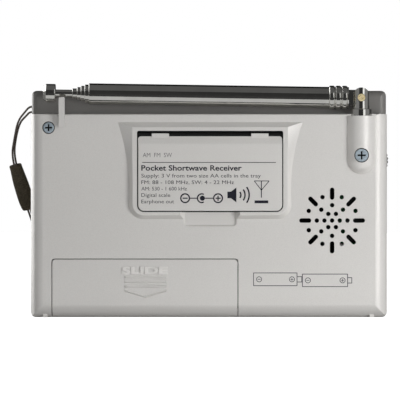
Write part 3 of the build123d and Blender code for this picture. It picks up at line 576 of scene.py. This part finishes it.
# rings from the top to the low end and back up inside: place along the sleeve, half width, half depth
SLEEVE_OUTSIDE = [
    (0.0, 1.95, 0.80), (0.12, 2.12, 0.94), (0.4, 2.20, 1.02), (0.9, 2.16, 0.98), (1.6, 2.18, 0.98),
    (3.5, 2.34, 1.05), (6.0, 2.55, 1.12), (8.5, 2.66, 1.16), (11.0, 2.67, 1.16), (13.5, 2.62, 1.12),
    (15.4, 2.50, 1.04), (16.6, 2.28, 0.92), (17.15, 2.00, 0.74),
]
SLEEVE_INSIDE = [
    (17.15, 1.70, 0.50), (16.4, 1.76, 0.52), (12.0, 1.86, 0.53), (6.0, 1.82, 0.53), (1.0, 1.70, 0.52),
    (0.1, 1.74, 0.56), (0.0, 1.80, 0.64),
]


def make_cord():
    """The strap's cord, one smooth line from one hole in the case to the other."""
    data = bpy.data.curves.new("wrist_cord", "CURVE")
    data.dimensions = "3D"
    data.resolution_u = 10
    data.bevel_depth = CORD_R * MM
    data.bevel_resolution = 4
    spline = data.splines.new("NURBS")
    spline.points.add(len(CORD_ROUTE) - 1)
    for point, (x, y, z) in zip(spline.points, CORD_ROUTE):
        point.co = (x * MM, y * MM, z * MM, 1.0)
    spline.order_u = 3
    spline.use_endpoint_u = True
    cord = bpy.data.objects.new("wrist_cord", data)
    data.materials.append(MATERIALS["cord"])
    bpy.context.scene.collection.objects.link(cord)
    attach(cord, "case")
    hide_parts("strap_cord")
    return cord


def squared(value, power):
    """A sine or cosine pushed outwards, so that a ring is squarer than an ellipse."""
    return math.copysign(abs(value) ** power, value)


def make_sleeve():
    """The leather sleeve: a flattened tube with rolled rims that the strands run through."""
    along = (SLEEVE_LOW - SLEEVE_TOP).normalized()
    wide = (Vector((1, 0, 0)) - along * along.x).normalized()
    deep = along.cross(wide)
    around = 40
    mesh = bmesh.new()
    rings = []
    for where, half_w, half_d in SLEEVE_OUTSIDE + SLEEVE_INSIDE:
        centre = SLEEVE_TOP + along * (where * MM)
        ring = []
        for k in range(around):
            angle = 2 * math.pi * k / around
            across = squared(math.cos(angle), 0.75)
            through = squared(math.sin(angle), 0.9)
            ripple = 1 + 0.012 * math.sin(3 * angle + where * 0.9)
            ring.append(mesh.verts.new(centre + wide * (half_w * across * ripple * MM)
                                       + deep * (half_d * through * ripple * MM)))
        rings.append(ring)
    count = len(rings)
    for k in range(count):
        here, there = rings[k], rings[(k + 1) % count]
        for j in range(around):
            nxt = (j + 1) % around
            mesh.faces.new((here[j], here[nxt], there[nxt], there[j]))
    bmesh.ops.recalc_face_normals(mesh, faces=mesh.faces)
    data = bpy.data.meshes.new("leather_sleeve")
    mesh.to_mesh(data)
    mesh.free()
    data.shade_smooth()
    sleeve = new_piece("leather_sleeve", data, MATERIALS["sleeve"], "case")
    smooth = sleeve.modifiers.new("smooth", "SUBSURF")
    smooth.levels = 1
    smooth.render_levels = 1
    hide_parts("strap_sleeve")
    return sleeve


# ---------------------------------------------------------------- print on the back

# the stand's label: its left edge, and the height of a capital in its small lines
LABEL_LEFT = -22.7
SMALL_CAPITAL = 1.3
# the small lines: text, right end, baseline
SMALL_LINES = [
    ("Supply: 3 V from two size AA cells in the tray", 17.4, 47.05),
    ("FM: 88 - 108 MHz, SW: 4 - 22 MHz", 8.4, 44.85),
    ("AM: 530 - 1 600 kHz", -7.4, 42.7),
    ("Digital scale", -13.0, 40.55),
    ("Earphone out", -11.7, 38.4),
]


def add_polarity_sign(label):
    """The supply socket's polarity: minus on the sleeve, plus on the pin."""
    z = 40.1
    ring_r = 1.46
    dot_r = 0.85
    for x, plus in ((-8.0, False), (3.06, True)):
        label.arc(x, z, ring_r, 0.46)
        label.sign(x, z, dot_r, 0.4, plus)
    label.arc(-2.4, z, ring_r, 0.44, 62, 298)
    label.dot(-2.2, z, dot_r)
    label.line([(-6.3, z), (-4.1, z)], 0.34)
    label.line([(-1.5, z), (1.36, z)], 0.34)


def add_loudspeaker_sign(label):
    """A loudspeaker with three arcs of sound."""
    label.slab([(6.2, 40.1), (7.4, 40.1), (9.2, 38.7), (9.2, 43.7), (7.4, 42.3), (6.2, 42.3)])
    for radius in (1.7, 3.1, 4.5):
        label.arc(9.0, 41.2, radius, 0.5, -36, 36, 12)


def add_aerial_sign(label):
    """An aerial on a bar."""
    mast_x, left, right, top = 17.6, 15.2, 20.2, 45.9
    label.line([(mast_x, 40.3), (mast_x, top)], 0.3)
    label.line([(left, top), (mast_x, 42.8), (right, top)], 0.24)
    label.line([(left, top), (right, top)], 0.24)
    label.slab(rectangle(15.3, 19.9, 38.4, 39.35))


def make_stand_label():
    """The printed panel on the stand: a title, plain words and three signs."""
    title = Print(STAND_FACE_Y)
    title.words("AM  FM  SW", -22.2, -12.4, 53.9, 1.5)
    title.piece("stand_title", FADED_INK, "kickstand", "case_silver")

    label = Print(STAND_FACE_Y)
    label.line([(-22.4, 52.1), (22.5, 52.1)], 0.22)
    label.words("Pocket Shortwave Receiver", LABEL_LEFT, 11.0, 49.4, 1.85, weight=0.02)
    for text, right, baseline in SMALL_LINES:
        label.words(text, LABEL_LEFT, right, baseline, SMALL_CAPITAL)
    add_polarity_sign(label)
    add_loudspeaker_sign(label)
    add_aerial_sign(label)
    label.piece("stand_label", INK, "kickstand", "case_silver")


def make_battery_diagram():
    """Which way round the two cells go, printed beside the door."""
    diagram = Print(BACK_Y)
    stroke = 0.24
    knob_half = 0.9
    for left, right, low, high, tip in ((15.0, 29.6, 10.7, 15.0, 31.2), (31.4, 46.6, 10.4, 14.6, 48.0)):
        middle = (low + high) / 2
        diagram.line(rectangle(left, right, low, high), stroke, closed=True)
        knob_left = right + stroke / 2
        diagram.line([(knob_left, middle - knob_half), (tip, middle - knob_half),
                      (tip, middle + knob_half), (knob_left, middle + knob_half)], stroke)
        for x, plus in ((left + 1.85, False), (right - 1.7, True)):
            diagram.arc(x, middle, 0.86, 0.22)
            diagram.sign(x, middle, 0.5, 0.2, plus)
    diagram.piece("battery_diagram", DIAGRAM_INK, "case", "case_silver")


def make_door_word():
    """The raised word above the door's arrow."""
    word = Print(BACK_Y, thick=0.4)
    word.words("SLIDE", -29.4, -13.8, 14.7, 2.4, weight=-0.02, bevel=0.07)
    word.piece("door_word", WORN_AND_HIGHLIT_SILVER, "battery_door", "case_silver")


# ---------------------------------------------------------------- print on the front

# the seven strokes of a digit, each between two corners of a grid 1 wide and 2 high
SEGMENTS = [((0, 2), (1, 2)), ((1, 2), (1, 1)), ((1, 1), (1, 0)), ((0, 0), (1, 0)),
            ((0, 1), (0, 0)), ((0, 2), (0, 1)), ((0, 1), (1, 1))]
SCREEN_X = -27.0
SCREEN_Z = 58.0
FIRST_DIGIT_X = SCREEN_X + 13.0
DIGIT_PITCH = 7.4
DIGIT_W = 3.9
DIGIT_HALF_H = 3.5
DIGIT_SLANT = 0.35
SEGMENT_W = 0.62
# how far a segment stops short of its grid corners
SEGMENT_GAP = 0.55
# the five keys
BUTTON_X = [-46.0, -36.5, -27.0, -17.5, -8.0]
BUTTON_Z = 40.0
# the band selector's scale
BANDS = 4
LAST_BAND_X = -20.0
BAND_STEP = 6.0
SCALE_Z = 24.6


def digit_corner(base_x, corner):
    """Where a corner of the segments' grid is, seen from the front, where +X is on the left."""
    x, z = corner
    return Vector((base_x - DIGIT_W * x - DIGIT_SLANT * (z - 1), SCREEN_Z + DIGIT_HALF_H * (z - 1)))


def make_display():
    """Unlit seven-segment digits and their decimal point, behind the window."""
    digits = Print(DISPLAY_FACE_Y, out=1.0, thick=0.08)
    for digit in range(4):
        base_x = FIRST_DIGIT_X - digit * DIGIT_PITCH
        for corners in SEGMENTS:
            start, end = (digit_corner(base_x, corner) for corner in corners)
            gap = (end - start).normalized() * SEGMENT_GAP
            digits.line([start + gap, end - gap], SEGMENT_W)
    digits.dot(SCREEN_X - 6.6, SCREEN_Z - 3.6, 0.4)
    digits.piece("display_digits", UNLIT_SEGMENT, "case", "black_plastic")


def make_selector_scale():
    """Plain numbers and ticks under the band selector."""
    marks = Print(FRONT_Y, out=1.0)
    for k in range(BANDS):
        x = LAST_BAND_X - BAND_STEP * k
        marks.line([(x, SCALE_Z), (x, SCALE_Z + 0.9)], 0.25)
        marks.words(str(BANDS - k), x - 0.5, x + 0.5, 22.3, 1.5)
    marks.line([(LAST_BAND_X - BAND_STEP * (BANDS - 1), SCALE_Z), (LAST_BAND_X, SCALE_Z)], 0.2)
    marks.piece("selector_scale", WHITE_INK, "case", "case_grey")


def make_key_signs():
    """Signs on the five keys: plus, minus, two arrowheads and a power sign."""
    for k, x in enumerate(BUTTON_X):
        key = Print(KEY_FACE_Y, out=1.0)
        if k < 2:
            key.sign(x, BUTTON_Z, 0.9, 0.3, k == 0)
        elif k == 4:
            key.arc(x, BUTTON_Z, 0.8, 0.28, 125, 415, 20)
            key.line([(x, BUTTON_Z + 0.2), (x, BUTTON_Z + 1.2)], 0.28)
        else:
            turn = 1 if k == 2 else -1
            key.slab([(x - 0.8 * turn, BUTTON_Z), (x + 0.6 * turn, BUTTON_Z + 0.9),
                      (x + 0.6 * turn, BUTTON_Z - 0.9)])
        key.piece(f"key_sign_{k + 1}", INK, f"button_{k + 1}", "button_plastic")


# ---------------------------------------------------------------- studio

# how bright each card shines, how much of the surround's white shows, and each light's power in watts
LEVELS = {
    "horizon": 1.0, "zenith": 0.15, "floor_lift": 1.0,
    "card_under": 0.03, "card_near": 0.5, "card_floor": 0.04, "card_top": 0.1, "card_top_back": 0.01,
    "card_front": 0.03, "card_strip": 1.0, "card_right": 0.22, "card_right_back": 0.05, "card_behind": 0.01,
    "card_left_back": 3.2, "card_left": 0.2,
    "key": 0.85, "low": 1.1,
}
# where the surround turns from the horizon's level to the zenith's
HORIZON_STOP = 0.12
ZENITH_STOP = 0.5
FLOOR_HALF = 3.0
TOP_HALF = 0.62
# the ring of upright cards: its radius, its height, and the degrees that one flat panel spans
WALL_REACH = 0.95
WALL_HEIGHT = 0.8
WALL_STEP = 12


def plain(name, colour, roughness):
    """A plain studio surface."""
    return finish_of(name, colour, roughness, drift=0.01, drift_size=0.5, grain=0.01, grain_size=0.01,
                     rough_spread=0.02)


def glow(name, level):
    """The material of a card that shines evenly."""
    material = bpy.data.materials.new(name)
    material.use_nodes = True
    tree = material.node_tree
    tree.nodes.clear()
    output = tree.nodes.new("ShaderNodeOutputMaterial")
    shine = tree.nodes.new("ShaderNodeEmission")
    shine.inputs["Color"].default_value = (level, level, level, 1.0)
    tree.links.new(shine.outputs["Emission"], output.inputs["Surface"])
    return material


def panel(name, corners, material, seen):
    """A flat studio panel without a shadow that only the named kinds of ray see."""
    mesh = bpy.data.meshes.new(name)
    mesh.from_pydata([Vector(corner) for corner in corners], [], [tuple(range(len(corners)))])
    mesh.materials.append(material)
    card = bpy.data.objects.new(name, mesh)
    bpy.context.scene.collection.objects.link(card)
    card.visible_camera = "camera" in seen
    card.visible_diffuse = "diffuse" in seen
    card.visible_glossy = "glossy" in seen
    card.visible_transmission = "camera" in seen
    card.visible_shadow = False


def level_rectangle(half_width, z, y_low, y_high):
    """Corners of a level rectangle."""
    return [(-half_width, y_low, z), (half_width, y_low, z), (half_width, y_high, z), (-half_width, y_high, z)]


def curved_wall(start, end):
    """Upright rectangles round the object, between two angles in degrees from the camera towards +X."""
    steps = max(1, round((end - start) / WALL_STEP))
    angles = [math.radians(start + (end - start) * k / steps) for k in range(steps + 1)]
    feet = [Vector((WALL_REACH * math.sin(a), -WALL_REACH * math.cos(a), 0)) for a in angles]
    up = Vector((0, 0, WALL_HEIGHT))
    return [[here, there, there + up, here + up] for here, there in zip(feet, feet[1:])]


def softbox(name, place, aim, width, height):
    """A rectangular area light that doesn't show in reflections."""
    data = bpy.data.lights.new(name, "AREA")
    data.shape = "RECTANGLE"
    data.size = width
    data.size_y = height
    data.energy = LEVELS[name]
    lamp = bpy.data.objects.new(name, data)
    lamp.location = place
    lamp.rotation_euler = (Vector(aim) - Vector(place)).to_track_quat("-Z", "Y").to_euler()
    lamp.visible_glossy = False
    bpy.context.scene.collection.objects.link(lamp)


def make_world():
    """A surround that is white at the horizon and grey overhead."""
    world = bpy.data.worlds.new("surround")
    world.use_nodes = True
    tree = world.node_tree
    place = tree.nodes.new("ShaderNodeTexCoord")
    split = tree.nodes.new("ShaderNodeSeparateXYZ")
    ramp = tree.nodes.new("ShaderNodeValToRGB")
    tree.links.new(place.outputs["Generated"], split.inputs["Vector"])
    tree.links.new(split.outputs["Z"], ramp.inputs["Fac"])
    tree.links.new(ramp.outputs["Color"], tree.nodes["Background"].inputs["Color"])
    stops = ((HORIZON_STOP, LEVELS["horizon"]), (ZENITH_STOP, LEVELS["zenith"]))
    for stop, (position, level) in zip(ramp.color_ramp.elements, stops):
        stop.position = position
        stop.color = (level, level, level, 1.0)
    tree.nodes["Background"].inputs["Strength"].default_value = 1.0
    bpy.context.scene.world = world


def make_floor():
    """A white floor that only the camera sees, over a grey one that light bounces from."""
    white = plain("white_floor", (0.95, 0.95, 0.95, 1), 0.7)
    shader = white.node_tree.nodes["Principled BSDF"]
    shader.inputs["Emission Color"].default_value = (1.0, 1.0, 1.0, 1.0)
    shader.inputs["Emission Strength"].default_value = LEVELS["floor_lift"]
    panel("floor", level_rectangle(FLOOR_HALF, 0.0, -FLOOR_HALF, FLOOR_HALF), white, ("camera",))
    panel("floor_bounce", level_rectangle(FLOOR_HALF, -0.0003, -FLOOR_HALF, FLOOR_HALF),
          plain("grey_floor", (0.42, 0.42, 0.41, 1), 0.8), ("diffuse", "glossy"))


def make_cards():
    """Cards that only show in reflections: on the floor, overhead, and in a ring round the receiver."""
    cards = {
        "card_under": [level_rectangle(0.09, 0.0002, -0.034, 0.05)],
        "card_near": [level_rectangle(0.3, 0.0004, -0.145, -0.034)],
        "card_floor": [level_rectangle(0.9, 0.0004, -1.0, -0.145)],
        "card_top": [level_rectangle(TOP_HALF, WALL_HEIGHT, -1.0, 0.31)],
        "card_top_back": [level_rectangle(TOP_HALF, WALL_HEIGHT, 0.31, 0.95)],
        "card_left": curved_wall(-95, -25),
        "card_front": curved_wall(-25, 24),
        "card_strip": curved_wall(24, 46),
        "card_right": curved_wall(46, 95),
        "card_right_back": curved_wall(95, 155),
        "card_behind": curved_wall(155, 205),
        "card_left_back": curved_wall(205, 265),
    }
    for name, faces in cards.items():
        shine = glow(name, LEVELS[name])
        for k, corners in enumerate(faces):
            panel(f"{name}_{k}", corners, shine, ("glossy",))


def make_studio():
    """Pale floor, white surround, soft lights and reflection cards."""
    bpy.context.scene.view_settings.view_transform = "Standard"
    make_world()
    make_floor()
    make_cards()
    softbox("key", place=(0.236, -0.243, 0.02), aim=(0.03, 0.0, 0.035), width=0.12, height=0.16)
    softbox("low", place=(0.05, -0.8, 0.1), aim=(0.0, 0.0, 0.035), width=0.5, height=0.15)


# ---------------------------------------------------------------- assembly

make_camera()
cord = make_cord()
sleeve = make_sleeve()
dress_nodes()
make_stand_label()
make_battery_diagram()
make_door_word()
make_display()
make_selector_scale()
make_key_signs()
make_studio()
